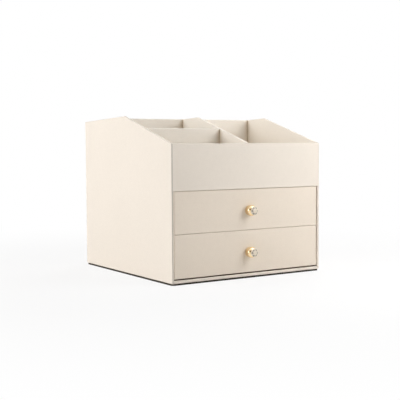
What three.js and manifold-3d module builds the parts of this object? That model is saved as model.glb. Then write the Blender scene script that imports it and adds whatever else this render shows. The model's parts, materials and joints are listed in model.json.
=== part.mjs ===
// A desktop organizer of wrapped board: an open tray in four compartments over two drawers.
// X runs across the front, Y towards the back and Z up. The origin is the middle of the underside.

import * as THREE from 'three';
import { ConvexGeometry } from 'three/addons/geometries/ConvexGeometry.js';
import { mergeVertices } from 'three/addons/utils/BufferGeometryUtils.js';
import Module from 'manifold-3d';

const wasm = await Module();
wasm.setup();

// Case, in millimetres
const caseWidth = 250;
const caseDepth = 258;
const caseHeight = 225.2;
const backHeight = 220.2;
const frontHeight = 185.7;
const slopeDepth = 129;
const panelThickness = 3.4;
const panelEdgeRadius = 1;
const bottomThickness = 4;
const shelfThickness = 3;
const deckThickness = 3;
const floorEdgeRadius = 0.5;

// Pad under the case
const padThickness = 2.2;
const padInset = 0.3;
const padCornerRadius = 5;
const padEdgeRadius = 0.4;

// Tray dividers
const dividerThickness = 3.2;
const dividerEdgeRadius = 1.4;
const crossDividerSetback = 70.5;
const rearCompartmentDepth = 79.5;

// Soft liners
const linerThickness = 1;
const linerGap = 0.4;
const linerEdgeRadius = 0.3;

// Drawers
const lowerFrontHeight = 58.3;
const upperFrontHeight = 56.4;
const drawerFrontThickness = 3.4;
const drawerFrontSetback = 1.2;
const drawerFrontRadius = 0.8;
const boxWallThickness = 2.6;
const boxFloorThickness = 2.2;
const boxEdgeRadius = 0.6;

// Clearances
const glueLine = 0.1;
const baseReveal = 1.7;
const frontGap = 0.4;
const headGap = 0.4;
const frontSideGap = 1;
const boxSideGap = 1.2;
const boxHeadGap = 1.6;
const boxBackGap = 2.5;
const runGap = 0.3;
const shelfSetback = 0.8;
const cutOverrun = 1;

// Knob: how far its axis lies under the middle of the board, and its sizes along the axis from the board
const knobDrop = 1.3;
const knobLength = 10;
const knobFootRadius = 7.1;
const knobFootRounding = 0.8;
const knobCollarRadius = 7.5;
const knobCollarPlace = 5.4;
const knobCollarRounding = 5;
const knobCollarBackShare = 0.3;
const knobRimWall = 0.6;
const knobBoreDepth = 5;

// Faceted stone set in the knob's end, measured from the rim
const stoneRadius = 5.9;
const stoneGap = 0.3;
const stoneStandOff = 1.9;
const stoneGirdle = 0.5;
const stonePavilionDepth = 5;
const stoneCrownHeight = 1.8;
const stoneTableRadius = 2.7;
const stoneStarRadius = 4.3;
const stoneStarHeightShare = 0.55;

// Knob screw and washer
const screwRadius = 1.75;
const screwGap = 0.3;
const screwHeadRadius = 3.6;
const screwHeadHeight = 1.8;
const screwHeadRounding = 0.7;
const screwTipChamfer = 0.4;
const screwTipGap = 0.5;
const recessLength = 3.8;
const recessWidth = 0.8;
const recessDepth = 0.9;
const washerRadius = 4.8;
const washerThickness = 0.8;

// Counts of facets and steps
const cornerSteps = 4;
const turnSteps = 40;
const collarSteps = 14;
const screwSteps = 24;
const stoneSides = 6;

// Places that follow from the sizes
const frontY = -caseDepth / 2;
const panelBackY = frontY + panelThickness;
const backInnerY = caseDepth / 2 - panelThickness;
const drawerFrontY = frontY + drawerFrontSetback;
const drawerFrontBackY = drawerFrontY + drawerFrontThickness;
const innerHalfWidth = caseWidth / 2 - panelThickness;
const caseBase = padThickness + glueLine;
const bottomTop = caseBase + bottomThickness;
const lowerFrontBase = bottomTop + baseReveal;
const lowerFrontTop = lowerFrontBase + lowerFrontHeight;
const upperFrontBase = lowerFrontTop + frontGap;
const upperFrontTop = upperFrontBase + upperFrontHeight;
const shelfBase = lowerFrontTop + (frontGap - shelfThickness) / 2;
const shelfTop = shelfBase + shelfThickness;
const deckBase = upperFrontTop + headGap;
const trayFloor = deckBase + deckThickness + glueLine;
const bendY = frontY + slopeDepth;
const crossFrontY = frontY + crossDividerSetback;
const crossBackY = crossFrontY + dividerThickness;
const rearDividerBackY = backInnerY - rearCompartmentDepth;
const rearDividerY = rearDividerBackY - dividerThickness;

// Height of the top line at a place along the depth: it climbs to the bend, then falls a little to the back
function rimHeight(y) {
  if (y < bendY) return frontHeight + (caseHeight - frontHeight) * (y - frontY) / slopeDepth;
  return caseHeight - (caseHeight - backHeight) * (y - bendY) / (caseDepth - slopeDepth);
}

const finishes = {
  leatherette: { color: 0xe8ddcd, roughness: 0.62, metalness: 0 },
  lining: { color: 0xe2d5c2, roughness: 0.85, metalness: 0 },
  velvet: { color: 0xdcccb6, roughness: 0.95, metalness: 0 },
  darkFelt: { color: 0x47443d, roughness: 0.95, metalness: 0 },
  gold: { color: 0xe0b060, roughness: 0.18, metalness: 1 },
  crystal: { color: 0xf2efe6, roughness: 0.03, metalness: 0, transparent: true, opacity: 0.6 },
  steel: { color: 0xb9b7b2, roughness: 0.35, metalness: 1 },
};

function piece(name, geometry, finish) {
  const mesh = new THREE.Mesh(geometry, new THREE.MeshStandardMaterial(finishes[finish]));
  mesh.name = name;
  return mesh;
}

// A closed mesh as a solid that can be cut
function solidOf(geometry) {
  const bare = geometry.clone();
  bare.deleteAttribute('normal');
  bare.deleteAttribute('uv');
  const merged = mergeVertices(bare);
  const vertProperties = Float32Array.from(merged.attributes.position.array);
  const triVerts = Uint32Array.from(merged.index.array);
  return new wasm.Manifold(new wasm.Mesh({ numProp: 3, vertProperties, triVerts }));
}

function geometryOf(solid) {
  const { vertProperties, triVerts } = solid.getMesh();
  const geometry = new THREE.BufferGeometry();
  geometry.setAttribute('position', new THREE.BufferAttribute(vertProperties, 3));
  geometry.setIndex(new THREE.BufferAttribute(triVerts, 1));
  const faceted = geometry.toNonIndexed();
  faceted.computeVertexNormals();
  return faceted;
}

// Takes the cutters out of a mesh, each where it stands
function carve(mesh, cutters) {
  mesh.updateMatrixWorld();
  const toLocal = mesh.matrixWorld.clone().invert();
  let solid = solidOf(mesh.geometry);
  for (const cutter of cutters) {
    cutter.updateMatrixWorld();
    const matrix = toLocal.clone().multiply(cutter.matrixWorld);
    solid = solid.subtract(solidOf(cutter.geometry.clone().applyMatrix4(matrix)));
  }
  mesh.geometry = geometryOf(solid);
  return mesh;
}

// A rectangle's outline, with round corners where a radius is given
function rectangle(low, high, radius = 0) {
  const shape = new THREE.Shape();
  if (radius === 0) {
    shape.moveTo(low[0], low[1]).lineTo(high[0], low[1]).lineTo(high[0], high[1]).lineTo(low[0], high[1]);
    return shape;
  }
  const quarter = Math.PI / 2;
  shape.absarc(high[0] - radius, low[1] + radius, radius, -quarter, 0);
  shape.absarc(high[0] - radius, high[1] - radius, radius, 0, quarter);
  shape.absarc(low[0] + radius, high[1] - radius, radius, quarter, 2 * quarter);
  shape.absarc(low[0] + radius, low[1] + radius, radius, 2 * quarter, 3 * quarter);
  return shape;
}

// A board with its wrapped edges rounded, from an outline and a thickness
function boardGeometry(shape, thickness, edgeRadius) {
  const geometry = new THREE.ExtrudeGeometry(shape, {
    depth: thickness - 2 * edgeRadius,
    bevelThickness: edgeRadius,
    bevelSize: edgeRadius,
    bevelOffset: -edgeRadius,
    bevelSegments: cornerSteps,
    curveSegments: cornerSteps,
  });
  return geometry.translate(0, 0, edgeRadius);
}

// Lies flat: the outline is in X and Y, and the board rises from z
function flatBoard(name, finish, low, high, z, thickness, edgeRadius, cornerRadius) {
  const mesh = piece(name, boardGeometry(rectangle(low, high, cornerRadius), thickness, edgeRadius), finish);
  mesh.position.z = z;
  return mesh;
}

// Stands across the width: the outline is in X and Z, and the board's front face is at y
function crossBoard(name, finish, low, high, y, thickness, edgeRadius) {
  const mesh = piece(name, boardGeometry(rectangle(low, high), thickness, edgeRadius), finish);
  mesh.rotation.x = Math.PI / 2;
  mesh.position.y = y + thickness;
  return mesh;
}

// Stands along the depth: the outline is in Y and Z, and the board's left face is at x
function sideBoard(name, finish, shape, x, thickness, edgeRadius) {
  const mesh = piece(name, boardGeometry(shape, thickness, edgeRadius), finish);
  mesh.rotation.set(0, Math.PI / 2, Math.PI / 2);
  mesh.position.x = x;
  return mesh;
}

// Outline of a board whose top follows the tray's rim between two depths
function rimOutline(nearY, farY, base) {
  const points = [[nearY, base], [farY, base], [farY, rimHeight(farY)]];
  if (bendY > nearY && bendY < farY) points.push([bendY, rimHeight(bendY)]);
  points.push([nearY, rimHeight(nearY)]);
  return new THREE.Shape(points.map(([y, z]) => new THREE.Vector2(y, z)));
}

// A wedge that mitres one panel end at an upright corner of the case.
// right and back are 1 or -1, and across says that the panel stands across the width.
function mitreWedge(right, back, across, base) {
  const kerf = glueLine * Math.SQRT1_2;
  const outside = -cutOverrun;
  const inside = panelThickness + cutOverrun;
  const corners = [[outside, outside + kerf], [inside, outside + kerf], [inside, inside + kerf]];
  const points = corners.map(([first, second]) => {
    const [inX, inY] = across ? [second, first] : [first, second];
    return new THREE.Vector2(right * (caseWidth / 2 - inX), back * (caseDepth / 2 - inY));
  });
  const depth = caseHeight + cutOverrun - base;
  const geometry = new THREE.ExtrudeGeometry(new THREE.Shape(points), { depth, bevelEnabled: false });
  const wedge = new THREE.Mesh(geometry);
  wedge.position.z = base;
  return wedge;
}

// Side panels: square below, where they flank the drawers, and mitred to the front panel above
function sidePanel(name, right) {
  const outline = rimOutline(frontY, caseDepth / 2, caseBase);
  const x = right > 0 ? innerHalfWidth : -caseWidth / 2;
  const mesh = sideBoard(name, 'leatherette', outline, x, panelThickness, panelEdgeRadius);
  return carve(mesh, [
    mitreWedge(right, -1, false, deckBase - glueLine),
    mitreWedge(right, 1, false, -cutOverrun),
  ]);
}

// Panels across the width, mitred at both ends
function crossPanel(name, back, base, top) {
  const y = back > 0 ? backInnerY : frontY;
  const low = [-caseWidth / 2, base];
  const high = [caseWidth / 2, top];
  const mesh = crossBoard(name, 'leatherette', low, high, y, panelThickness, panelEdgeRadius);
  return carve(mesh, [-1, 1].map((right) => mitreWedge(right, back, true, -cutOverrun)));
}

function makeCase() {
  const group = new THREE.Group();
  const padHalf = [caseWidth / 2 - padInset, caseDepth / 2 - padInset];
  const seatHalf = innerHalfWidth - glueLine;
  const seatBack = backInnerY - glueLine;
  group.add(
    flatBoard('base_pad', 'darkFelt', padHalf.map((half) => -half), padHalf, 0,
      padThickness, padEdgeRadius, padCornerRadius),
    flatBoard('bottom_panel', 'leatherette', [-seatHalf, frontY], [seatHalf, seatBack], caseBase,
      bottomThickness, panelEdgeRadius),
    sidePanel('left_side_panel', -1),
    sidePanel('right_side_panel', 1),
    crossPanel('back_panel', 1, caseBase, backHeight),
    crossPanel('front_panel', -1, deckBase, frontHeight),
    flatBoard('drawer_shelf', 'lining', [-seatHalf, drawerFrontBackY + shelfSetback],
      [seatHalf, seatBack], shelfBase, shelfThickness, floorEdgeRadius),
    flatBoard('tray_floor', 'lining', [-seatHalf, panelBackY + glueLine], [seatHalf, seatBack], deckBase,
      deckThickness, floorEdgeRadius),
  );
  return group;
}

// A soft sheet on the floor of a space, given by the space's inner faces
function liner(name, low, high, z) {
  const inLow = low.map((value) => value + linerGap);
  const inHigh = high.map((value) => value - linerGap);
  return flatBoard(name, 'velvet', inLow, inHigh, z, linerThickness, linerEdgeRadius);
}

function makeTray() {
  const group = new THREE.Group();
  const halfDivider = dividerThickness / 2;
  const outline = rimOutline(panelBackY + glueLine, rearDividerY - glueLine, trayFloor);
  const left = -innerHalfWidth + glueLine;
  const crossHigh = [-halfDivider - glueLine, rimHeight(crossFrontY)];
  group.add(
    sideBoard('middle_divider', 'leatherette', outline, -halfDivider, dividerThickness, dividerEdgeRadius),
    crossBoard('cross_divider', 'leatherette', [left, trayFloor], crossHigh, crossFrontY, dividerThickness,
      dividerEdgeRadius),
    crossBoard('rear_divider', 'leatherette', [left, trayFloor], [-left, rimHeight(rearDividerY)],
      rearDividerY, dividerThickness, dividerEdgeRadius),
    liner('left_front_liner', [-innerHalfWidth, panelBackY], [-halfDivider, crossFrontY], trayFloor),
    liner('left_back_liner', [-innerHalfWidth, crossBackY], [-halfDivider, rearDividerY], trayFloor),
    liner('right_liner', [halfDivider, panelBackY], [innerHalfWidth, rearDividerY], trayFloor),
    liner('rear_liner', [-innerHalfWidth, rearDividerBackY], [innerHalfWidth, backInnerY], trayFloor),
  );
  return group;
}

function lathe(points, steps) {
  return new THREE.LatheGeometry(points.map(([radius, along]) => new THREE.Vector2(radius, along)), steps);
}

// Points of a quarter turn that rounds an edge, from one angle to the next in quarter turns
function rounding(centre, radius, fromQuarter) {
  const points = [];
  for (let step = 0; step <= cornerSteps; step += 1) {
    const angle = (fromQuarter + step / cornerSteps) * Math.PI / 2;
    points.push([centre[0] + radius * Math.cos(angle), centre[1] + radius * Math.sin(angle)]);
  }
  return points;
}

// Side view of the knob's round collar, from behind its widest place to the rim
function collarPoints() {
  const centreRadius = knobCollarRadius - knobCollarRounding;
  const end = Math.asin((knobLength - knobCollarPlace) / knobCollarRounding);
  const start = -knobCollarBackShare * end;
  const points = [];
  for (let step = 0; step <= collarSteps; step += 1) {
    const angle = start + (end - start) * step / collarSteps;
    const radius = centreRadius + knobCollarRounding * Math.cos(angle);
    points.push([radius, knobCollarPlace + knobCollarRounding * Math.sin(angle)]);
  }
  return points;
}

// A round-collared cup, bored from behind for its screw and hollowed in front for its stone
function knobBodyGeometry() {
  const boreRadius = screwRadius + screwGap;
  const collar = collarPoints();
  const rimRadius = collar[collarSteps][0];
  return lathe([
    [0, knobBoreDepth],
    [boreRadius, knobBoreDepth],
    [boreRadius, 0],
    ...rounding([knobFootRadius - knobFootRounding, knobFootRounding], knobFootRounding, -1),
    ...collar,
    [rimRadius - knobRimWall, knobLength],
    [0, knobLength + stoneStandOff - stonePavilionDepth - stoneGap],
  ], turnSteps);
}

// A ring of points round the knob's axis; turn shifts it by a share of one step
function ring(radius, along, count, turn = 0) {
  return Array.from({ length: count }, (_, index) => {
    const angle = (index + turn) / count * 2 * Math.PI;
    return new THREE.Vector3(radius * Math.cos(angle), along, radius * Math.sin(angle));
  });
}

// A cut stone: a flat table, star facets, a thin girdle wider than the rim and a pointed back
function stoneGeometry() {
  const girdle = knobLength + stoneStandOff;
  const crown = girdle + stoneGirdle;
  return new ConvexGeometry([
    new THREE.Vector3(0, girdle - stonePavilionDepth, 0),
    ...ring(stoneRadius, girdle, 2 * stoneSides),
    ...ring(stoneRadius, crown, 2 * stoneSides),
    ...ring(stoneStarRadius, crown + stoneCrownHeight * stoneStarHeightShare, stoneSides, 1 / 2),
    ...ring(stoneTableRadius, crown + stoneCrownHeight, stoneSides),
  ]);
}

function washerGeometry() {
  const top = -drawerFrontThickness - 2 * glueLine;
  const hole = screwRadius + screwGap;
  const low = top - washerThickness;
  return lathe([[hole, low], [washerRadius, low], [washerRadius, top], [hole, top], [hole, low]], screwSteps);
}

// The screw goes in from inside the drawer, and its head bears on the washer
function knobScrew(name) {
  const headTop = -drawerFrontThickness - washerThickness - 3 * glueLine;
  const headBase = headTop - screwHeadHeight;
  const tip = knobBoreDepth - screwTipGap;
  const mesh = piece(name, lathe([
    [0, headBase],
    ...rounding([screwHeadRadius - screwHeadRounding, headBase + screwHeadRounding], screwHeadRounding, -1),
    [screwHeadRadius, headTop],
    [screwRadius, headTop],
    [screwRadius, tip - screwTipChamfer],
    [screwRadius - screwTipChamfer, tip],
    [0, tip],
  ], screwSteps), 'steel');
  const recessHeight = recessDepth + cutOverrun;
  const slots = [[recessLength, recessWidth], [recessWidth, recessLength]].map(([width, length]) => {
    const slot = new THREE.Mesh(new THREE.BoxGeometry(width, recessHeight, length));
    slot.position.y = headBase + recessDepth - recessHeight / 2;
    return slot;
  });
  return carve(mesh, slots);
}

function makeKnob(drawerName, z) {
  const group = new THREE.Group();
  group.rotation.x = Math.PI;
  group.position.set(0, drawerFrontY - glueLine, z);
  group.add(
    piece(`${drawerName}_knob_body`, knobBodyGeometry(), 'gold'),
    piece(`${drawerName}_knob_stone`, stoneGeometry(), 'crystal'),
    piece(`${drawerName}_knob_washer`, washerGeometry(), 'steel'),
    knobScrew(`${drawerName}_knob_screw`),
  );
  return group;
}

// A drawer box glued to its front board. The box runs on runZ, under a ceiling.
function makeDrawer(name, frontBase, frontBoardHeight, runZ, ceiling) {
  const group = new THREE.Group();
  const knobZ = frontBase + frontBoardHeight / 2 - knobDrop;
  const frontHalf = innerHalfWidth - frontSideGap;
  const boxHalf = innerHalfWidth - boxSideGap;
  const boxFront = drawerFrontBackY + glueLine;
  const boxBack = backInnerY - boxBackGap;
  const boxBase = runZ + runGap;
  const wallBase = boxBase + boxFloorThickness + glueLine;
  const wallTop = ceiling - boxHeadGap;
  const wallFar = boxBack - boxWallThickness - glueLine;
  const wallOutline = rectangle([boxFront, wallBase], [wallFar, wallTop]);
  const inHalf = boxHalf - boxWallThickness;
  const front = crossBoard(`${name}_front`, 'leatherette', [-frontHalf, frontBase],
    [frontHalf, frontBase + frontBoardHeight], drawerFrontY, drawerFrontThickness, drawerFrontRadius);
  const drillLength = drawerFrontThickness + 2 * cutOverrun;
  const holeRadius = screwRadius + screwGap;
  const drill = new THREE.Mesh(new THREE.CylinderGeometry(holeRadius, holeRadius, drillLength, screwSteps));
  drill.position.set(0, drawerFrontY + drawerFrontThickness / 2, knobZ);
  group.add(
    carve(front, [drill]),
    flatBoard(`${name}_floor`, 'lining', [-boxHalf, boxFront], [boxHalf, boxBack], boxBase,
      boxFloorThickness, boxEdgeRadius),
    sideBoard(`${name}_left_wall`, 'lining', wallOutline, -boxHalf, boxWallThickness, boxEdgeRadius),
    sideBoard(`${name}_right_wall`, 'lining', wallOutline, inHalf, boxWallThickness, boxEdgeRadius),
    crossBoard(`${name}_back_wall`, 'lining', [-boxHalf, wallBase], [boxHalf, wallTop],
      boxBack - boxWallThickness, boxWallThickness, boxEdgeRadius),
    liner(`${name}_liner`, [-inHalf, boxFront], [inHalf, wallFar], wallBase),
    makeKnob(name, knobZ),
  );
  return group;
}

const group = new THREE.Group();
group.add(
  makeCase(),
  makeTray(),
  makeDrawer('upper_drawer', upperFrontBase, upperFrontHeight, shelfTop, deckBase),
  makeDrawer('lower_drawer', lowerFrontBase, lowerFrontHeight, bottomTop, shelfBase),
);

export default group;
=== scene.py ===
import json
import math

import bpy
from mathutils import Matrix, Vector


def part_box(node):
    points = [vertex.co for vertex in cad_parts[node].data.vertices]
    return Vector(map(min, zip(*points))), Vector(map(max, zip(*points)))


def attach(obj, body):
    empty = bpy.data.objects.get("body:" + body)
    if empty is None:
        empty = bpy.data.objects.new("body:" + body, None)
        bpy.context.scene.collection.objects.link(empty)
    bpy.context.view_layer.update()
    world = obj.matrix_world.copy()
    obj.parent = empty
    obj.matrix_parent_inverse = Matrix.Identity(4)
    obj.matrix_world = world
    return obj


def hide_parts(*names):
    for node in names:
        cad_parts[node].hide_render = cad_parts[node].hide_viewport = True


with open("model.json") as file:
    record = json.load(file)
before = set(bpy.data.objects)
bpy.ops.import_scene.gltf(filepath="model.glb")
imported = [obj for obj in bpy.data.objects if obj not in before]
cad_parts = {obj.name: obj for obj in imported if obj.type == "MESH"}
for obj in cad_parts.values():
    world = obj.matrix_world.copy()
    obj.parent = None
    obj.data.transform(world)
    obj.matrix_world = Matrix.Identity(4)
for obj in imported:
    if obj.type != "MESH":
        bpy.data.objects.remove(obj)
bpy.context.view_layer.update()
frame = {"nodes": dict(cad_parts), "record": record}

MM = 0.001
DRAWERS = ("upper_drawer", "lower_drawer")


# Camera: its angles are in degrees, its lens and sensor in millimetres

CAMERA_PLACE = Vector((-0.6932, -1.0797, 0.1833))
CAMERA_YAW = 32.773
CAMERA_PITCH = 3.655
CAMERA_ROLL = -0.331
CAMERA_LENS = 76.97
CAMERA_SENSOR = 36
CAMERA_NEAREST = 50 * MM


def aim_camera():
    """Adds the camera. It looks along +Y at yaw 0 and turns clockwise seen from above."""
    yaw, pitch, roll = (math.radians(angle) for angle in (CAMERA_YAW, CAMERA_PITCH, CAMERA_ROLL))
    forward = Vector((math.sin(yaw) * math.cos(pitch), math.cos(yaw) * math.cos(pitch), -math.sin(pitch)))
    level = Vector((math.cos(yaw), -math.sin(yaw), 0))
    rise = level.cross(forward)
    right = math.cos(roll) * level + math.sin(roll) * rise
    up = math.cos(roll) * rise - math.sin(roll) * level
    data = bpy.data.cameras.new("photo_camera")
    data.lens = CAMERA_LENS
    data.sensor_width = CAMERA_SENSOR
    data.clip_start = CAMERA_NEAREST
    camera = bpy.data.objects.new("photo_camera", data)
    bpy.context.scene.collection.objects.link(camera)
    turn = Matrix((right, up, -forward)).transposed().to_4x4()
    camera.matrix_world = Matrix.Translation(CAMERA_PLACE) @ turn
    bpy.context.scene.camera = camera


aim_camera()


# Nodes

def connect(tree, node, links):
    """Gives a node's inputs, each as a socket or as a value."""
    for socket, source in links.items():
        if isinstance(source, bpy.types.NodeSocket):
            tree.links.new(source, node.inputs[socket])
        else:
            node.inputs[socket].default_value = source
    return node


def add(tree, kind, links, **settings):
    """A new shader node with its settings and its inputs."""
    node = tree.nodes.new("ShaderNode" + kind)
    for name, value in settings.items():
        setattr(node, name, value)
    return connect(tree, node, links)


def calc(tree, operation, *values):
    return add(tree, "Math", dict(enumerate(values)), operation=operation).outputs[0]


def vector(tree, operation, *values):
    return add(tree, "VectorMath", dict(enumerate(values)), operation=operation).outputs[0]


def remap(tree, value, low, high, to_low, to_high, smooth=False):
    """Carries a value between low and high over to its place between to_low and to_high."""
    links = {"Value": value, "From Min": low, "From Max": high, "To Min": to_low, "To Max": to_high}
    kind = "SMOOTHSTEP" if smooth else "LINEAR"
    return add(tree, "MapRange", links, interpolation_type=kind).outputs["Result"]


def noise(tree, place, scale, detail, roughness=0.6):
    links = {"Vector": place, "Scale": scale, "Detail": detail, "Roughness": roughness}
    return add(tree, "TexNoise", links).outputs


def counted(tree, place, size, stretch=(1, 1, 1)):
    """Coordinates counted in pattern sizes. A pattern is drawn out along an axis where stretch is under 1."""
    squeezed = vector(tree, "MULTIPLY", place, stretch)
    links = {0: squeezed, "Scale": calc(tree, "DIVIDE", 1.0, size)}
    return add(tree, "VectorMath", links, operation="SCALE").outputs[0]


def effect(name, inputs, outputs):
    """A node group: its inputs are names with default values, and its outputs plain numbers."""
    group = bpy.data.node_groups.new(name, "ShaderNodeTree")
    for socket, value in inputs.items():
        kind = "NodeSocketFloat" if isinstance(value, float) else "NodeSocketVector"
        group.interface.new_socket(socket, in_out="INPUT", socket_type=kind).default_value = value
    for socket in outputs:
        group.interface.new_socket(socket, in_out="OUTPUT", socket_type="NodeSocketFloat")
    return group, group.nodes.new("NodeGroupInput").outputs, group.nodes.new("NodeGroupOutput").inputs


def placed(tree, group, **links):
    """An effect placed in a tree with its inputs, as a set of outputs."""
    node = tree.nodes.new("ShaderNodeGroup")
    node.node_tree = group
    return connect(tree, node, links).outputs


# Effects that more than one finish uses. Lengths without a unit are counted in pattern sizes

NOISE_LOW = 0.3
NOISE_MIDDLE = 0.5
NOISE_HIGH = 0.7
MOTTLE_GAIN = 3.2
PEBBLE_BEND = 1.6
PEBBLE_DOME = 0.42
PEBBLE_CREASE = 0.16
PEBBLE_ROUGHNESS = 0.25
TURN_COSINES = (0.99, 0.8)
LEAST_WEAR_AND_HIGHLIGHT = 0.35
TUFT_HEIGHT = 1.5
PILE_TONE = 0.1
FIBRE_STRETCH = 0.16
FIBRE_SUMS = (1.1, 1.9)
FIBRE_TONE = 0.06


def make_mottle():
    """Soft uneven patches: Tone is 1 on average and moves by Contrast."""
    group, given, made = effect("mottle", {"Vector": (0, 0, 0), "Size": 0.01, "Contrast": 0.02}, ["Tone"])
    place = counted(group, given["Vector"], given["Size"])
    patches = noise(group, place, scale=1.0, detail=3.0, roughness=0.55)["Fac"]
    swing = calc(group, "MULTIPLY", calc(group, "SUBTRACT", patches, NOISE_MIDDLE), MOTTLE_GAIN)
    swing = calc(group, "MULTIPLY", swing, given["Contrast"])
    group.links.new(calc(group, "ADD", swing, 1.0), made["Tone"])
    return group


def make_pebbles():
    """Fine leather grain: rounded pebbles with creases between them."""
    inputs = {"Vector": (0, 0, 0), "Size": 0.001}
    group, given, made = effect("pebble_grain", inputs, ["Height", "Crease"])
    place = counted(group, given["Vector"], given["Size"])
    bend = noise(group, place, scale=0.45, detail=2.0)["Color"]
    bend = vector(group, "SUBTRACT", bend, (NOISE_MIDDLE,) * 3)
    place = vector(group, "MULTIPLY_ADD", bend, (PEBBLE_BEND,) * 3, place)
    cells = add(group, "TexVoronoi", {"Vector": place, "Scale": 1.0}, feature="DISTANCE_TO_EDGE").outputs
    dome = remap(group, cells["Distance"], 0.0, PEBBLE_DOME, 0.0, 1.0, smooth=True)
    fine = calc(group, "MULTIPLY", noise(group, place, scale=4.0, detail=3.0)["Fac"], PEBBLE_ROUGHNESS)
    group.links.new(calc(group, "ADD", dome, fine), made["Height"])
    crease = remap(group, cells["Distance"], 0.0, PEBBLE_CREASE, 1.0, 0.0, smooth=True)
    group.links.new(crease, made["Crease"])
    return group


def make_wear_and_highlight():
    """Where a wrapped edge is rubbed and given a painted highlight: compares the true normal with one
    averaged over the edge.
    """
    inputs = {"Vector": (0, 0, 0), "Normal": (0, 0, 1), "Rounded": (0, 0, 1), "Patch": 0.01}
    group, given, made = effect("edge_wear_and_highlight", inputs, ["Mask"])
    alike = add(group, "VectorMath", {0: given["Normal"], 1: given["Rounded"]}, operation="DOT_PRODUCT")
    turn = remap(group, alike.outputs["Value"], *TURN_COSINES, 0.0, 1.0, smooth=True)
    place = counted(group, given["Vector"], given["Patch"])
    rubbed_highlit = noise(group, place, scale=1.0, detail=4.0)["Fac"]
    broken = remap(group, rubbed_highlit, NOISE_LOW, NOISE_HIGH, LEAST_WEAR_AND_HIGHLIGHT, 1.0)
    group.links.new(calc(group, "MULTIPLY", turn, broken), made["Mask"])
    return group


def make_pile():
    """Short upright fibres, in tufts of uneven height."""
    group, given, made = effect("pile", {"Vector": (0, 0, 0), "Size": 0.0004}, ["Height", "Tone"])
    place = counted(group, given["Vector"], given["Size"])
    tips = add(group, "TexVoronoi", {"Vector": place, "Scale": 1.0}, feature="F1").outputs["Distance"]
    hairs = noise(group, place, scale=2.3, detail=4.0, roughness=0.7)["Fac"]
    tufts = noise(group, place, scale=0.045, detail=4.0)["Fac"]
    peaks = calc(group, "MULTIPLY_ADD", tufts, TUFT_HEIGHT, calc(group, "SUBTRACT", 1.0, tips))
    group.links.new(calc(group, "ADD", peaks, hairs), made["Height"])
    both = calc(group, "ADD", hairs, tufts)
    tone = remap(group, both, 2 * NOISE_LOW, 2 * NOISE_HIGH, 1 - PILE_TONE, 1 + PILE_TONE)
    group.links.new(tone, made["Tone"])
    return group


def make_fibres():
    """Matted fibres that lie along all three axes, as in paper or felt."""
    group, given, made = effect("fibres", {"Vector": (0, 0, 0), "Size": 0.0006}, ["Height", "Tone"])
    total = 0.0
    for stretch in ((FIBRE_STRETCH, 1, 1), (1, FIBRE_STRETCH, 1), (1, 1, FIBRE_STRETCH)):
        place = counted(group, given["Vector"], given["Size"], stretch)
        total = calc(group, "ADD", noise(group, place, scale=1.0, detail=4.0)["Fac"], total)
    group.links.new(total, made["Height"])
    group.links.new(remap(group, total, *FIBRE_SUMS, 1 - FIBRE_TONE, 1 + FIBRE_TONE), made["Tone"])
    return group


def make_hairlines():
    """Fine lines that run one way, such as polishing or brushing marks."""
    inputs = {"Vector": (0, 0, 0), "Size": 0.0002, "Along": (1, 1, 1)}
    group, given, made = effect("hairlines", inputs, ["Height"])
    place = vector(group, "MULTIPLY", counted(group, given["Vector"], given["Size"]), given["Along"])
    group.links.new(noise(group, place, scale=1.0, detail=5.0, roughness=0.7)["Fac"], made["Height"])
    return group


# The tray's space, with a little of the board round it

INTO_PANELS = 0.7 * MM
INTO_FLOOR = 0.5 * MM
TRAY_HALF_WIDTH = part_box("right_side_panel")[0].x + INTO_PANELS
TRAY_HALF_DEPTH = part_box("back_panel")[0].y + INTO_PANELS
TRAY_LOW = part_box("tray_floor")[0].z + INTO_FLOOR


def make_inside():
    """1 within the tray's space and a little way into the board round it, and 0 outside."""
    group, given, made = effect("tray_inside", {"Vector": (0, 0, 0)}, ["Mask"])
    part = add(group, "SeparateXYZ", {0: given["Vector"]}).outputs
    mask = calc(group, "GREATER_THAN", part["Z"], TRAY_LOW)
    for axis, half in (("X", TRAY_HALF_WIDTH), ("Y", TRAY_HALF_DEPTH)):
        within = calc(group, "LESS_THAN", calc(group, "ABSOLUTE", part[axis]), half)
        mask = calc(group, "MULTIPLY", mask, within)
    group.links.new(mask, made["Mask"])
    return group


# The seam down each front corner of the case

CASE_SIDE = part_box("right_side_panel")[1].x
CASE_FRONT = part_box("right_side_panel")[0].y
SEAM_FROM_SIDE = 0.4 * MM
SEAM_WIDTH = 1.8 * MM
SEAM_DEPTH = 0.6 * MM
SEAM_BLUR = 0.3 * MM
SEAM_OUTER = CASE_SIDE - SEAM_FROM_SIDE
SEAM_INNER = SEAM_OUTER - SEAM_WIDTH
SEAM_BACK = CASE_FRONT + SEAM_DEPTH
SEAM_CHANGEOVER = 10 * MM
SEAM_RIGHT_SHARE = 0.2


def make_seam():
    """The narrow seam of the cover down the case's front corners: 1 on the left, fainter on the right."""
    group, given, made = effect("corner_seam", {"Vector": (0, 0, 0)}, ["Mask"])
    part = add(group, "SeparateXYZ", {0: given["Vector"]}).outputs
    away = calc(group, "ABSOLUTE", part["X"])
    inner = remap(group, away, SEAM_INNER, SEAM_INNER + SEAM_BLUR, 0.0, 1.0, smooth=True)
    outer = remap(group, away, SEAM_OUTER - SEAM_BLUR, SEAM_OUTER, 1.0, 0.0, smooth=True)
    side = remap(group, part["X"], -SEAM_CHANGEOVER, SEAM_CHANGEOVER, 1.0, SEAM_RIGHT_SHARE)
    mask = calc(group, "MULTIPLY", calc(group, "LESS_THAN", part["Y"], SEAM_BACK), side)
    mask = calc(group, "MULTIPLY", mask, calc(group, "MULTIPLY", inner, outer))
    group.links.new(mask, made["Mask"])
    return group


mottle = make_mottle()
pebbles = make_pebbles()
wear_and_highlight = make_wear_and_highlight()
pile = make_pile()
fibres = make_fibres()
hairlines = make_hairlines()
tray_inside = make_inside()
corner_seam = make_seam()


# Finishes

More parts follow.
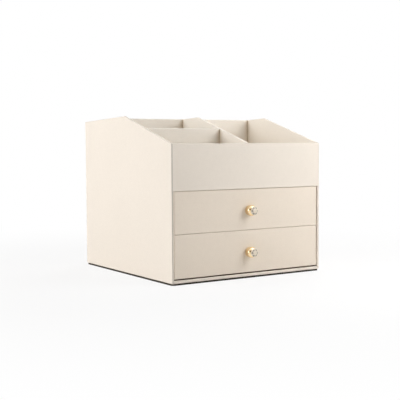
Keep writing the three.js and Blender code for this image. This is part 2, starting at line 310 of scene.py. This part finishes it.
def new_finish(name):
    """A new material with its node tree, its Principled shader and its object coordinates."""
    material = bpy.data.materials.new(name)
    material.use_nodes = True
    tree = material.node_tree
    return material, tree, tree.nodes["Principled BSDF"], add(tree, "TexCoord", {}).outputs["Object"]


def toned(tree, colour, *tones):
    """A colour with its brightness moved by each tone in turn."""
    for tone in tones:
        colour = add(tree, "VectorMath", {0: colour, "Scale": tone}, operation="SCALE").outputs[0]
    return colour


def blend(tree, mask, first, second):
    """From the first colour to the second as the mask goes from 0 to 1."""
    first, second = ((*colour, 1) if isinstance(colour, tuple) else colour for colour in (first, second))
    return add(tree, "Mix", {0: mask, 6: first, 7: second}, data_type="RGBA").outputs[2]


def relief(tree, shader, *layers):
    """Bump layers, each a height with its depth in metres, one over the other."""
    normal = None
    for height, depth in layers:
        links = {"Height": height, "Distance": depth}
        if normal is not None:
            links["Normal"] = normal
        normal = add(tree, "Bump", links).outputs["Normal"]
    tree.links.new(normal, shader.inputs["Normal"])


def edge_wear_highlight_mask(tree, place, radius, patch):
    """1 on edges within a radius, broken up in patches, and 0 on flat faces."""
    rounded = add(tree, "Bevel", {"Radius": radius}, samples=4).outputs["Normal"]
    true = add(tree, "NewGeometry", {}).outputs["Normal"]
    return placed(tree, wear_and_highlight, Vector=place, Normal=true, Rounded=rounded, Patch=patch)["Mask"]


FOLD_SHADE_REACH = 12 * MM
FOLD_SHADE_OPENNESS = (0.52, 0.88)


def fold_shade_mask(tree):
    """Painted shade: 1 deep in a fold between two walls, where ambient occlusion finds shade, 0 on open
    faces.
    """
    openness = add(tree, "AmbientOcclusion", {"Distance": FOLD_SHADE_REACH}, samples=8).outputs["AO"]
    return remap(tree, openness, *FOLD_SHADE_OPENNESS, 1.0, 0.0, smooth=True)


GRAIN_SIZE = 0.9 * MM
GRAIN_DEPTH = 0.045 * MM
PATCH_DEPTH = 0.6 * MM
RUBBED_HIGHLIGHT_RADIUS = 1.6 * MM
RUBBED_POLISH = 0.1
CREASE_TONES = (1.008, 0.955)
CREASE_DULLNESS = (0.54, 0.68)
SEAM_TONES = (1.0, 0.7)
FOLD_SHADE_BROWN = (0.80, 0.705, 0.575)


def leatherette(name, colour, rubbed_highlit, inner):
    """Pebble-grained coated sheet: paler, smoother edges of wear and painted highlight; painted light and
    shade in the tray.
    """
    material, tree, shader, place = new_finish(name)
    inside = placed(tree, tray_inside, Vector=place)["Mask"]
    # Painted light: inside the tray the cover takes a paler cream than outside, to lift its shade.
    colour = blend(tree, inside, colour, inner)
    # Painted shade: deep in the tray's folds the cover turns browner and darker.
    colour = blend(tree, calc(tree, "MULTIPLY", inside, fold_shade_mask(tree)), colour, FOLD_SHADE_BROWN)
    grain = placed(tree, pebbles, Vector=place, Size=GRAIN_SIZE)
    patches = placed(tree, mottle, Vector=place, Size=7 * MM, Contrast=0.012)["Tone"]
    clouds = placed(tree, mottle, Vector=place, Size=55 * MM, Contrast=0.008)["Tone"]
    # Painted highlight and wear: the cover is paler along its rounded edges.
    worn_highlit_edges = edge_wear_highlight_mask(tree, place, RUBBED_HIGHLIGHT_RADIUS, patch=6 * MM)
    creases = remap(tree, grain["Crease"], 0.0, 1.0, *CREASE_TONES)
    body = blend(tree, worn_highlit_edges, toned(tree, colour, patches, clouds, creases), rubbed_highlit)
    seam = remap(tree, placed(tree, corner_seam, Vector=place)["Mask"], 0.0, 1.0, *SEAM_TONES)
    tree.links.new(toned(tree, body, seam), shader.inputs["Base Color"])
    dull = calc(tree, "MULTIPLY", remap(tree, grain["Crease"], 0.0, 1.0, *CREASE_DULLNESS), patches)
    dull = calc(tree, "SUBTRACT", dull, calc(tree, "MULTIPLY", worn_highlit_edges, RUBBED_POLISH))
    tree.links.new(dull, shader.inputs["Roughness"])
    relief(tree, shader, (grain["Height"], GRAIN_DEPTH), (patches, PATCH_DEPTH))
    return material


FIBRE_HEIGHTS = (1.0, 2.0)
PAPER_DEPTH = 0.03 * MM
PAPER_DULLNESS = (0.74, 0.9)
PAPER_WORN_RADIUS = 0.9 * MM
PAPER_WORN_SHARE = 1.06


def paper_lining(name, colour):
    """Matte paper glued over board, with fibres in it and paler at its edges."""
    material, tree, shader, place = new_finish(name)
    sheet = placed(tree, fibres, Vector=place, Size=0.7 * MM)
    patches = placed(tree, mottle, Vector=place, Size=12 * MM, Contrast=0.02)["Tone"]
    worn_highlit_edges = edge_wear_highlight_mask(tree, place, PAPER_WORN_RADIUS, patch=4 * MM)
    body = toned(tree, colour, sheet["Tone"], patches)
    worn = tuple(min(1, PAPER_WORN_SHARE * part) for part in colour)
    tree.links.new(blend(tree, worn_highlit_edges, body, worn), shader.inputs["Base Color"])
    dull = remap(tree, sheet["Height"], *FIBRE_HEIGHTS, *PAPER_DULLNESS)
    tree.links.new(dull, shader.inputs["Roughness"])
    relief(tree, shader, (sheet["Height"], PAPER_DEPTH))
    return material


PILE_HEIGHTS = (1.0, 3.0)
VELVET_DEPTH = 0.12 * MM
VELVET_DULLNESS = (0.98, 0.82)


def velvet(name, colour):
    """Short pile that catches the light at its tips."""
    material, tree, shader, place = new_finish(name)
    hairs = placed(tree, pile, Vector=place, Size=0.35 * MM)
    brushed = placed(tree, mottle, Vector=place, Size=30 * MM, Contrast=0.05)["Tone"]
    tree.links.new(toned(tree, colour, hairs["Tone"], brushed), shader.inputs["Base Color"])
    dull = remap(tree, hairs["Height"], *PILE_HEIGHTS, *VELVET_DULLNESS)
    tree.links.new(dull, shader.inputs["Roughness"])
    shader.inputs["Sheen Weight"].default_value = 0.3
    shader.inputs["Sheen Roughness"].default_value = 0.4
    shader.inputs["Specular IOR Level"].default_value = 0.2
    relief(tree, shader, (hairs["Height"], VELVET_DEPTH))
    return material


FELT_DEPTH = 0.1 * MM
LINT_DEPTH = 0.05 * MM
FELT_DULLNESS = (0.86, 0.98)


def felt(name, colour):
    """Dense dark felt with matted fibres and lint."""
    material, tree, shader, place = new_finish(name)
    mat = placed(tree, fibres, Vector=place, Size=0.5 * MM)
    lint = placed(tree, pile, Vector=place, Size=0.6 * MM)
    patches = placed(tree, mottle, Vector=place, Size=9 * MM, Contrast=0.12)["Tone"]
    tree.links.new(toned(tree, colour, mat["Tone"], lint["Tone"], patches), shader.inputs["Base Color"])
    dull = remap(tree, mat["Height"], *FIBRE_HEIGHTS, *FELT_DULLNESS)
    tree.links.new(dull, shader.inputs["Roughness"])
    shader.inputs["Specular IOR Level"].default_value = 0.15
    relief(tree, shader, (mat["Height"], FELT_DEPTH), (lint["Height"], LINT_DEPTH))
    return material


THIN_TONES = (0.9, 1.5)
THIN_SHARE = 0.35
POLISH_SPREAD = 0.25
POLISH_DEPTH = 0.004 * MM


def plated(name, colour, deep, roughness, along):
    """Plated metal with fine polishing lines, and a deeper tone where the plating is thin."""
    material, tree, shader, place = new_finish(name)
    lines = placed(tree, hairlines, Vector=place, Size=0.25 * MM, Along=along)["Height"]
    smears = placed(tree, mottle, Vector=place, Size=3 * MM, Contrast=0.25)["Tone"]
    thin = placed(tree, mottle, Vector=place, Size=1.4 * MM, Contrast=0.5)["Tone"]
    thin = remap(tree, thin, *THIN_TONES, 0.0, THIN_SHARE)
    tree.links.new(blend(tree, thin, colour, deep), shader.inputs["Base Color"])
    shader.inputs["Metallic"].default_value = 1
    polish = remap(tree, lines, NOISE_LOW, NOISE_HIGH, 1 - POLISH_SPREAD, 1 + POLISH_SPREAD)
    polish = calc(tree, "MULTIPLY", polish, roughness)
    tree.links.new(calc(tree, "MULTIPLY", polish, smears), shader.inputs["Roughness"])
    relief(tree, shader, (lines, POLISH_DEPTH))
    return material


SMEAR_TONES = (0.7, 1.3)
SMEAR_DULLNESS = 0.045


def cut_stone(name, colour):
    """Clear cut glass with a slight warm tint, faint smears, and painted dark reflections on some facets."""
    material, tree, shader, place = new_finish(name)
    smears = placed(tree, mottle, Vector=place, Size=2.5 * MM, Contrast=0.3)["Tone"]
    tint = placed(tree, mottle, Vector=place, Size=4 * MM, Contrast=0.02)["Tone"]
    shade = add(tree, "Attribute", {}, attribute_name="facet_shade").outputs["Fac"]
    tree.links.new(toned(tree, colour, tint, calc(tree, "SUBTRACT", 1.0, shade)), shader.inputs["Base Color"])
    tree.links.new(remap(tree, smears, *SMEAR_TONES, 0.0, SMEAR_DULLNESS), shader.inputs["Roughness"])
    shader.inputs["Transmission Weight"].default_value = 0.25
    shader.inputs["IOR"].default_value = 1.5
    return material


CREAM = (0.829, 0.754, 0.665)
# The rubbed shares make edges paler, partly as wear and partly as a painted highlight; the drawers' larger
# shares are painted highlight beside their dark gaps.
CREAM_RUBBED_HIGHLIGHT_SHARES = (1.10, 1.12, 1.15)
DRAWER_CREAM = (0.829, 0.734, 0.624)
DRAWER_RUBBED_HIGHLIGHT_SHARES = (1.14, 1.19, 1.25)
# The inner cream is painted light: the tray's inside is the same cover, made paler to lift its shade.
INNER_CREAM_PAINTED_LIGHT = (0.935, 0.875, 0.79)
# The board brown is painted shade: a dark colour that darkens the gaps under the drawers.
BOARD_BROWN_PAINTED_SHADE = (0.15, 0.095, 0.055)
LINING_CREAM = (0.80, 0.715, 0.605)
VELVET_BEIGE = (0.83, 0.75, 0.645)
FELT_BROWN = (0.05, 0.043, 0.034)
GOLD = (0.96, 0.76, 0.47)
GOLD_DEEP = (0.74, 0.45, 0.18)
STONE_TINT = (1.0, 0.91, 0.76)
STEEL = (0.56, 0.55, 0.53)
STEEL_DEEP = (0.40, 0.39, 0.38)
LINES_ALONG_Y = (1, 0.04, 1)
LINES_ALONG_Z = (1, 1, 0.06)


def paler(colour, shares):
    return tuple(part * share for part, share in zip(colour, shares))


CREAM_RUBBED_HIGHLIGHT = paler(CREAM, CREAM_RUBBED_HIGHLIGHT_SHARES)
DRAWER_RUBBED_HIGHLIGHT = paler(DRAWER_CREAM, DRAWER_RUBBED_HIGHLIGHT_SHARES)

finishes = {
    "leatherette": leatherette("leatherette", CREAM, CREAM_RUBBED_HIGHLIGHT, INNER_CREAM_PAINTED_LIGHT),
    "drawer_leatherette": leatherette("drawer_leatherette", DRAWER_CREAM, DRAWER_RUBBED_HIGHLIGHT, DRAWER_CREAM),
    "brown_board_painted_shade": paper_lining("brown_board_painted_shade", BOARD_BROWN_PAINTED_SHADE),
    "lining": paper_lining("lining", LINING_CREAM),
    "velvet": velvet("velvet", VELVET_BEIGE),
    "dark_felt": felt("dark_felt", FELT_BROWN),
    "gold": plated("gold", GOLD, GOLD_DEEP, roughness=0.12, along=LINES_ALONG_Y),
    "crystal": cut_stone("crystal", STONE_TINT),
    "steel": plated("steel", STEEL, STEEL_DEEP, roughness=0.32, along=LINES_ALONG_Z),
}

# Each CAD piece takes the finish of its slot, apart from the drawers' fronts and floors. The floors' dark
# brown is painted shade for the gaps under the drawer fronts.

for row in frame["record"]["subparts"]:
    node = frame["nodes"][row["node"]]
    finish = row["material_slot"]
    if row["node"].endswith("_drawer_front"):
        finish = "drawer_leatherette"
    elif row["node"].endswith("_drawer_floor"):
        finish = "brown_board_painted_shade"
    node.data.materials.clear()
    node.data.materials.append(finishes[finish])


# Modelling

SMOOTH_ANGLE = 30
UPRIGHT = (math.pi / 2, 0, 0)


def start(kind, stretch, place, turn=(0, 0, 0), **settings):
    """Adds a primitive with nothing else selected, at its size and place, and opens it for editing."""
    bpy.ops.object.select_all(action="DESELECT")
    getattr(bpy.ops.mesh, f"primitive_{kind}_add")(location=place, rotation=turn, **settings)
    piece = bpy.context.object
    piece.scale = stretch
    bpy.ops.object.transform_apply(location=True, rotation=True, scale=True)
    bpy.ops.object.mode_set(mode="EDIT")
    return piece


def done(piece, name, body, finish, smooth_angle=SMOOTH_ANGLE):
    """Closes a piece: its name, finish and body, and smooth shading up to an angle in degrees."""
    bpy.ops.mesh.select_all(action="SELECT")
    bpy.ops.mesh.normals_make_consistent(inside=False)
    bpy.ops.object.mode_set(mode="OBJECT")
    piece.name = name
    piece.data.name = name
    piece.data.materials.clear()
    piece.data.materials.append(finishes[finish])
    bpy.ops.object.shade_smooth_by_angle(angle=math.radians(smooth_angle))
    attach(piece, body)
    return piece


def extrude(step):
    bpy.ops.mesh.extrude_region_move(TRANSFORM_OT_translate={"value": step})


def finish_modifier(piece, kind, **settings):
    """Adds a modifier in object mode with its settings and applies it."""
    bpy.ops.object.mode_set(mode="OBJECT")
    modifier = piece.modifiers.new(kind.lower(), kind)
    for name, value in settings.items():
        setattr(modifier, name, value)
    bpy.ops.object.modifier_apply(modifier=modifier.name)
    bpy.ops.object.mode_set(mode="EDIT")


# Soft mats: liners and the pad under the case

MAT_CELL = 6 * MM
MAT_CORNER_STEPS = 6
MAT_ROLL_STEPS = 3
SWELL_WIDTH = 30 * MM
AT_EDGE = 0.01 * MM
LINER_CORNER = 1.5 * MM
LINER_ROLL = 0.35 * MM
LINER_SWELL = 0.3 * MM
PAD_CORNER = 5 * MM
PAD_ROLL = 0.4 * MM


def select_corners(mat, low, high):
    """Selects the four corner points of a flat mat that reaches from low to high."""
    bpy.ops.mesh.select_mode(type="VERT")
    bpy.ops.mesh.select_all(action="DESELECT")
    bpy.ops.object.mode_set(mode="OBJECT")
    for vertex in mat.data.vertices:
        to_side = min(vertex.co.x - low.x, high.x - vertex.co.x)
        to_end = min(vertex.co.y - low.y, high.y - vertex.co.y)
        vertex.select = to_side < AT_EDGE and to_end < AT_EDGE
    bpy.ops.object.mode_set(mode="EDIT")


def roughen_top(mat, name, above, swell):
    """Moves the top up and down a little, as a soft sheet lies."""
    bpy.ops.object.mode_set(mode="OBJECT")
    top = mat.vertex_groups.new(name="top")
    top.add([vertex.index for vertex in mat.data.vertices if vertex.co.z > above], 1, "REPLACE")
    bumps = bpy.data.textures.new(name + "_bumps", "CLOUDS")
    bumps.noise_scale = SWELL_WIDTH
    bpy.ops.object.mode_set(mode="EDIT")
    finish_modifier(mat, "DISPLACE", texture=bumps, strength=swell, mid_level=0.5, direction="Z",
                    vertex_group="top", texture_coords="LOCAL")
    mat.vertex_groups.clear()


def soft_mat(node_name, body, slot, corner, roll, swell):
    """A soft mat in a node's place: round corners, rolled edges and, with a swell, an uneven top."""
    low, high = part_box(node_name)
    size = high - low
    counts = [max(2, round(length / MAT_CELL)) for length in (size.x, size.y)]
    middle = ((low.x + high.x) / 2, (low.y + high.y) / 2, low.z)
    mat = start("grid", (size.x, size.y, 1), middle, size=1,
                x_subdivisions=counts[0], y_subdivisions=counts[1])
    select_corners(mat, low, high)
    bpy.ops.mesh.bevel(offset=corner, segments=MAT_CORNER_STEPS, affect="VERTICES")
    bpy.ops.mesh.select_all(action="SELECT")
    extrude((0, 0, size.z))
    bpy.ops.mesh.region_to_loop()
    bpy.ops.mesh.bevel(offset=roll, segments=MAT_ROLL_STEPS)
    if swell:
        roughen_top(mat, node_name, high.z - roll / 2, swell)
    done(mat, node_name + "_soft", body, slot)
    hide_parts(node_name)
    return mat


def liner(name, body):
    """A velvet liner that lies on a board."""
    mat = soft_mat(name, body, "velvet", LINER_CORNER, LINER_ROLL, LINER_SWELL)


for name in ("left_front_liner", "left_back_liner", "right_liner", "rear_liner"):
    liner(name, "case")
for drawer in DRAWERS:
    liner(drawer + "_liner", drawer)
pad = soft_mat("base_pad", "case", "dark_felt", PAD_CORNER, PAD_ROLL, swell=0.0)


# Knobs. Each ring is a radius and a distance out from the knob's back, in millimetres. Angles are in degrees

KNOB_STEPS = 64
KNOB_BORE = ((2.05, 5.0), (2.05, 0))
KNOB_FOOT = ((6.3, 0), (6.7, 0.1), (7.0, 0.4), (7.1, 0.8), (7.12, 1.8), (7.16, 2.8))
KNOB_RIM = ((4.46, 10.0), (4.0, 9.98))
KNOB_SEAT = ((2.0, 8.35), (0.3, 6.65))
COLLAR_CENTRE = (2.5, 5.4)
COLLAR_ROUND = 5.0
COLLAR_TURN = (-20, 66)
COLLAR_RINGS = 14


def collar():
    """Rings of the knob's round collar, from behind its widest place to the rim."""
    radius, along = COLLAR_CENTRE
    low, high = COLLAR_TURN
    for step in range(COLLAR_RINGS + 1):
        angle = math.radians(low + (high - low) * step / COLLAR_RINGS)
        yield radius + COLLAR_ROUND * math.cos(angle), along + COLLAR_ROUND * math.sin(angle)


def turned_knob(drawer):
    """A knob body turned ring by ring: its screw bore, foot, collar and rim, and the stone's seat."""
    low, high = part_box(drawer + "_knob_body")
    axis_x, axis_z = (low.x + high.x) / 2, (low.z + high.z) / 2
    rings = (*KNOB_BORE, *KNOB_FOOT, *collar(), *KNOB_RIM, *KNOB_SEAT)
    radius, along = rings[0]
    place = (axis_x, high.y - along * MM, axis_z)
    knob = start("circle", (1, 1, 1), place, UPRIGHT,
                 vertices=KNOB_STEPS, radius=radius * MM, fill_type="NGON")
    bpy.ops.mesh.select_all(action="SELECT")
    for ring, reach in rings[1:]:
        extrude((0, (along - reach) * MM, 0))
        centre = (axis_x, high.y - reach * MM, axis_z)
        bpy.ops.transform.resize(value=(ring / radius, 1, ring / radius), center_override=centre)
        radius, along = ring, reach
    done(knob, drawer + "_knob_turned", drawer, "gold")
    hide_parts(drawer + "_knob_body")


SHADED_FACETS = (3.9 * MM, 4.8 * MM)
SHADED_AREA = 1.5 * MM ** 2
CROWN_SLOPE = 0.3
FACET_SHADE = 0.55
GROUND_EDGE = 0.09 * MM
WELD = 0.01 * MM
FLAT_ANGLE = 1
FACET_ANGLE = 5


def shade_facets(stone, middle):
    """Marks the large facets in one ring of the crown. The stone's colour is darker there: painted dark
    reflections.
    """
    shade = stone.data.attributes.new("facet_shade", "FLOAT", "FACE")
    for facet in stone.data.polygons:
        away = math.hypot(facet.center.x - middle.x, facet.center.z - middle.z)
        crown = facet.normal.y < -CROWN_SLOPE and facet.area > SHADED_AREA
        if crown and SHADED_FACETS[0] < away < SHADED_FACETS[1]:
            shade.data[facet.index].value = FACET_SHADE


def ground_stone(drawer):
    """The cut stone with its facets' edges ground a little, so that they catch the light."""
    low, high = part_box(drawer + "_knob_stone")
    node = frame["nodes"][drawer + "_knob_stone"]
    bpy.ops.object.select_all(action="DESELECT")
    stone = bpy.data.objects.new("stone", node.data.copy())
    stone.matrix_world = node.matrix_world
    bpy.context.scene.collection.objects.link(stone)
    bpy.context.view_layer.objects.active = stone
    stone.select_set(True)
    bpy.ops.object.transform_apply(location=True, rotation=True, scale=True)
    bpy.ops.object.mode_set(mode="EDIT")
    bpy.ops.mesh.select_all(action="SELECT")
    bpy.ops.mesh.remove_doubles(threshold=WELD)
    bpy.ops.mesh.dissolve_limited(angle_limit=math.radians(FLAT_ANGLE))
    finish_modifier(stone, "BEVEL", width=GROUND_EDGE, segments=1, limit_method="ANGLE",
                    angle_limit=math.radians(FACET_ANGLE))
    done(stone, drawer + "_knob_stone_ground", drawer, "crystal", FLAT_ANGLE)
    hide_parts(drawer + "_knob_stone")
    shade_facets(stone, (low + high) / 2)


for drawer in DRAWERS:
    turned_knob(drawer)
    ground_stone(drawer)


# Sheets of cover and paper on the backs of the drawer fronts, and a dark sheet in the drawer bay as painted
# shade

SHEET = 0.07 * MM
SHEET_GAP = 0.02 * MM
SHEET_CORNER_STEPS = 4
TURN_IN = 9 * MM
BACKING_INSET = 0.3 * MM
LINING_LAP = 2 * MM
LINING_CORNER = 3 * MM
BAY_SETBACK = 1.8 * MM
BAY_CLEARANCE = 1 * MM
BAY_CORNER = 2 * MM


def cut_sheet(size, place, turn, corner, step):
    """Opens a flat sheet with round corners, made as thick as the step that it is extruded by."""
    sheet = start("plane", size, place, turn, size=1)
    bpy.ops.mesh.select_all(action="SELECT")
    bpy.ops.mesh.bevel(offset=corner, segments=SHEET_CORNER_STEPS, affect="VERTICES")
    bpy.ops.mesh.select_all(action="SELECT")
    extrude(step)
    return sheet


def front_backing(drawer):
    """The back of a drawer front: the turned-in edge of its cover and a paper lining over it."""
    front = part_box(drawer + "_front")[1]
    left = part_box(drawer + "_left_wall")[1].x
    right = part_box(drawer + "_right_wall")[0].x
    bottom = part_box(drawer + "_liner")[1].z + BACKING_INSET
    width = right - left - 2 * BACKING_INSET
    height = front.z - 2 * BACKING_INSET - bottom
    centre = ((left + right) / 2, front.y + SHEET_GAP, bottom + height / 2)
    edge = start("plane", (width, height, 1), centre, UPRIGHT, size=1)
    bpy.ops.mesh.select_all(action="SELECT")
    bpy.ops.mesh.inset(thickness=TURN_IN)
    bpy.ops.mesh.delete(type="FACE")
    bpy.ops.mesh.select_all(action="SELECT")
    extrude((0, SHEET, 0))
    done(edge, drawer + "_front_turned_edge", drawer, "drawer_leatherette")
    margin = 2 * TURN_IN - 2 * LINING_LAP
    place = (centre[0], centre[1] + SHEET + SHEET_GAP / 2, centre[2])
    lining = cut_sheet((width - margin, height - margin, 1), place, UPRIGHT, LINING_CORNER, (0, SHEET, 0))
    done(lining, drawer + "_front_lining", drawer, "lining")


def bay_shade_sheet():
    """A dark brown sheet on the bottom panel, under the lower drawer: painted shade in the gap below it."""
    low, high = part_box("bottom_panel")
    half_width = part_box("right_side_panel")[0].x
    front = low.y + BAY_SETBACK
    width = 2 * half_width - 2 * SHEET_GAP - BAY_CLEARANCE
    depth = high.y - front - BAY_CLEARANCE
    place = (0, front + depth / 2, high.z + SHEET_GAP)
    lining = cut_sheet((width, depth, 1), place, (0, 0, 0), BAY_CORNER, (0, 0, SHEET))
    done(lining, "bottom_panel_shade_sheet", "case", "brown_board_painted_shade")


for drawer in DRAWERS:
    front_backing(drawer)
bay_shade_sheet()


# Light and floor

LAMP_TARGET = Vector((0, 0, 0.1))


def soft_light(name, place, side, power):
    """A square lamp that points at the case. The camera doesn't see it."""
    data = bpy.data.lights.new(name, "AREA")
    data.shape = "SQUARE"
    data.size = side
    data.energy = power
    light = bpy.data.objects.new(name, data)
    bpy.context.scene.collection.objects.link(light)
    light.location = place
    light.rotation_euler = (LAMP_TARGET - Vector(place)).to_track_quat("-Z", "Y").to_euler()
    light.visible_camera = False


soft_light("left_light", (-1.7, 0.1, 0.5), side=1.0, power=12.5)
soft_light("left_back_light", (-1.3, 0.8, 1.1), side=1.0, power=10.2)
soft_light("left_front_light", (-1.6, -0.7, 0.5), side=0.8, power=1.8)
soft_light("front_right_light", (0.36, -0.45, 0.5), side=0.5, power=2.05)
soft_light("front_right_fill", (0.5, -0.7, 0.45), side=0.45, power=1.35)
soft_light("low_front_right_light", (0.42, -0.5, 0.2), side=0.3, power=0.28)
soft_light("top_light", (0.1, -0.1, 0.9), side=0.6, power=0.8)
soft_light("right_back_light", (1.2, 0.9, 0.9), side=1.0, power=13.0)


def seen_directly(tree):
    """1 for camera, glossy and transmitted rays, 0 for the rays that light matte surfaces."""
    paths = add(tree, "LightPath", {}).outputs
    either = calc(tree, "MAXIMUM", paths["Is Camera Ray"], paths["Is Glossy Ray"])
    return calc(tree, "MAXIMUM", either, paths["Is Transmission Ray"])


# The band fades between each pair of limits, parts of a unit direction: Z for foot and top, Y for ends

WHITE = (1.0, 1.0, 1.0)
AMBIENT_WHITE = (1.0, 0.97, 0.92)
AMBIENT_STRENGTH = 0.13
BAND_BROWN = (0.11, 0.06, 0.03)
BAND_FOOT = (-0.02, 0.16)
BAND_TOP = (0.5, 0.64)
BAND_ENDS = (0.25, 0.6)


def make_world():
    """White all round. Metal and glass also see a dim warm band above the table, open towards +Y."""
    world = bpy.data.worlds.new("studio")
    bpy.context.scene.world = world
    world.use_nodes = True
    tree = world.node_tree
    looking = add(tree, "SeparateXYZ", {0: add(tree, "TexCoord", {}).outputs["Generated"]}).outputs
    nearer = remap(tree, looking["Y"], *BAND_ENDS, 1.0, 0.0, smooth=True)
    above_table = remap(tree, looking["Z"], *BAND_FOOT, 0.0, 1.0, smooth=True)
    under_lamps = remap(tree, looking["Z"], *BAND_TOP, 1.0, 0.0, smooth=True)
    reflected = calc(tree, "SUBTRACT", 1.0, add(tree, "LightPath", {}).outputs["Is Camera Ray"])
    band = calc(tree, "MULTIPLY", calc(tree, "MULTIPLY", above_table, under_lamps), nearer)
    seen = blend(tree, calc(tree, "MULTIPLY", band, reflected), WHITE, BAND_BROWN)
    ambient = {"Color": (*AMBIENT_WHITE, 1), "Strength": AMBIENT_STRENGTH}
    ambient = connect(tree, tree.nodes["Background"], ambient)
    white = add(tree, "Background", {"Color": seen, "Strength": 1.0})
    mix = add(tree, "MixShader", {0: seen_directly(tree), 1: ambient.outputs[0], 2: white.outputs[0]})
    tree.links.new(mix.outputs[0], tree.nodes["World Output"].inputs["Surface"])


FLOOR_SIDE = 6.0
FLOOR_WHITE = (0.9, 0.9, 0.9)
SHADOW_NEAR = 0.22
SHADOW_FAR = 0.75
SHADOW_SHARE = 0.2


def floor_paint():
    """Matte paint that glows plain white. Round the object a share of it is lit instead, and so shaded."""
    material, tree, shader, place = new_finish("floor_paint")
    specks = placed(tree, mottle, Vector=place, Size=40 * MM, Contrast=0.004)["Tone"]
    tree.links.new(toned(tree, FLOOR_WHITE, specks), shader.inputs["Base Color"])
    shader.inputs["Roughness"].default_value = 0.9
    distance = add(tree, "VectorMath", {0: place}, operation="LENGTH").outputs["Value"]
    glow = add(tree, "Emission", {"Color": (*WHITE, 1), "Strength": 1.0})
    fade = remap(tree, distance, SHADOW_NEAR, SHADOW_FAR, 1 - SHADOW_SHARE, 1.0, smooth=True)
    strength = calc(tree, "MULTIPLY", fade, seen_directly(tree))
    mix = add(tree, "MixShader", {0: strength, 1: shader.outputs[0], 2: glow.outputs[0]})
    tree.links.new(mix.outputs[0], tree.nodes["Material Output"].inputs["Surface"])
    return material


make_world()
bpy.ops.object.select_all(action="DESELECT")
bpy.ops.mesh.primitive_plane_add(size=FLOOR_SIDE, location=(0, 0, 0))
floor = bpy.context.object
floor.name = "floor"
floor.data.materials.append(floor_paint())

bpy.context.scene.view_settings.view_transform = "Standard"
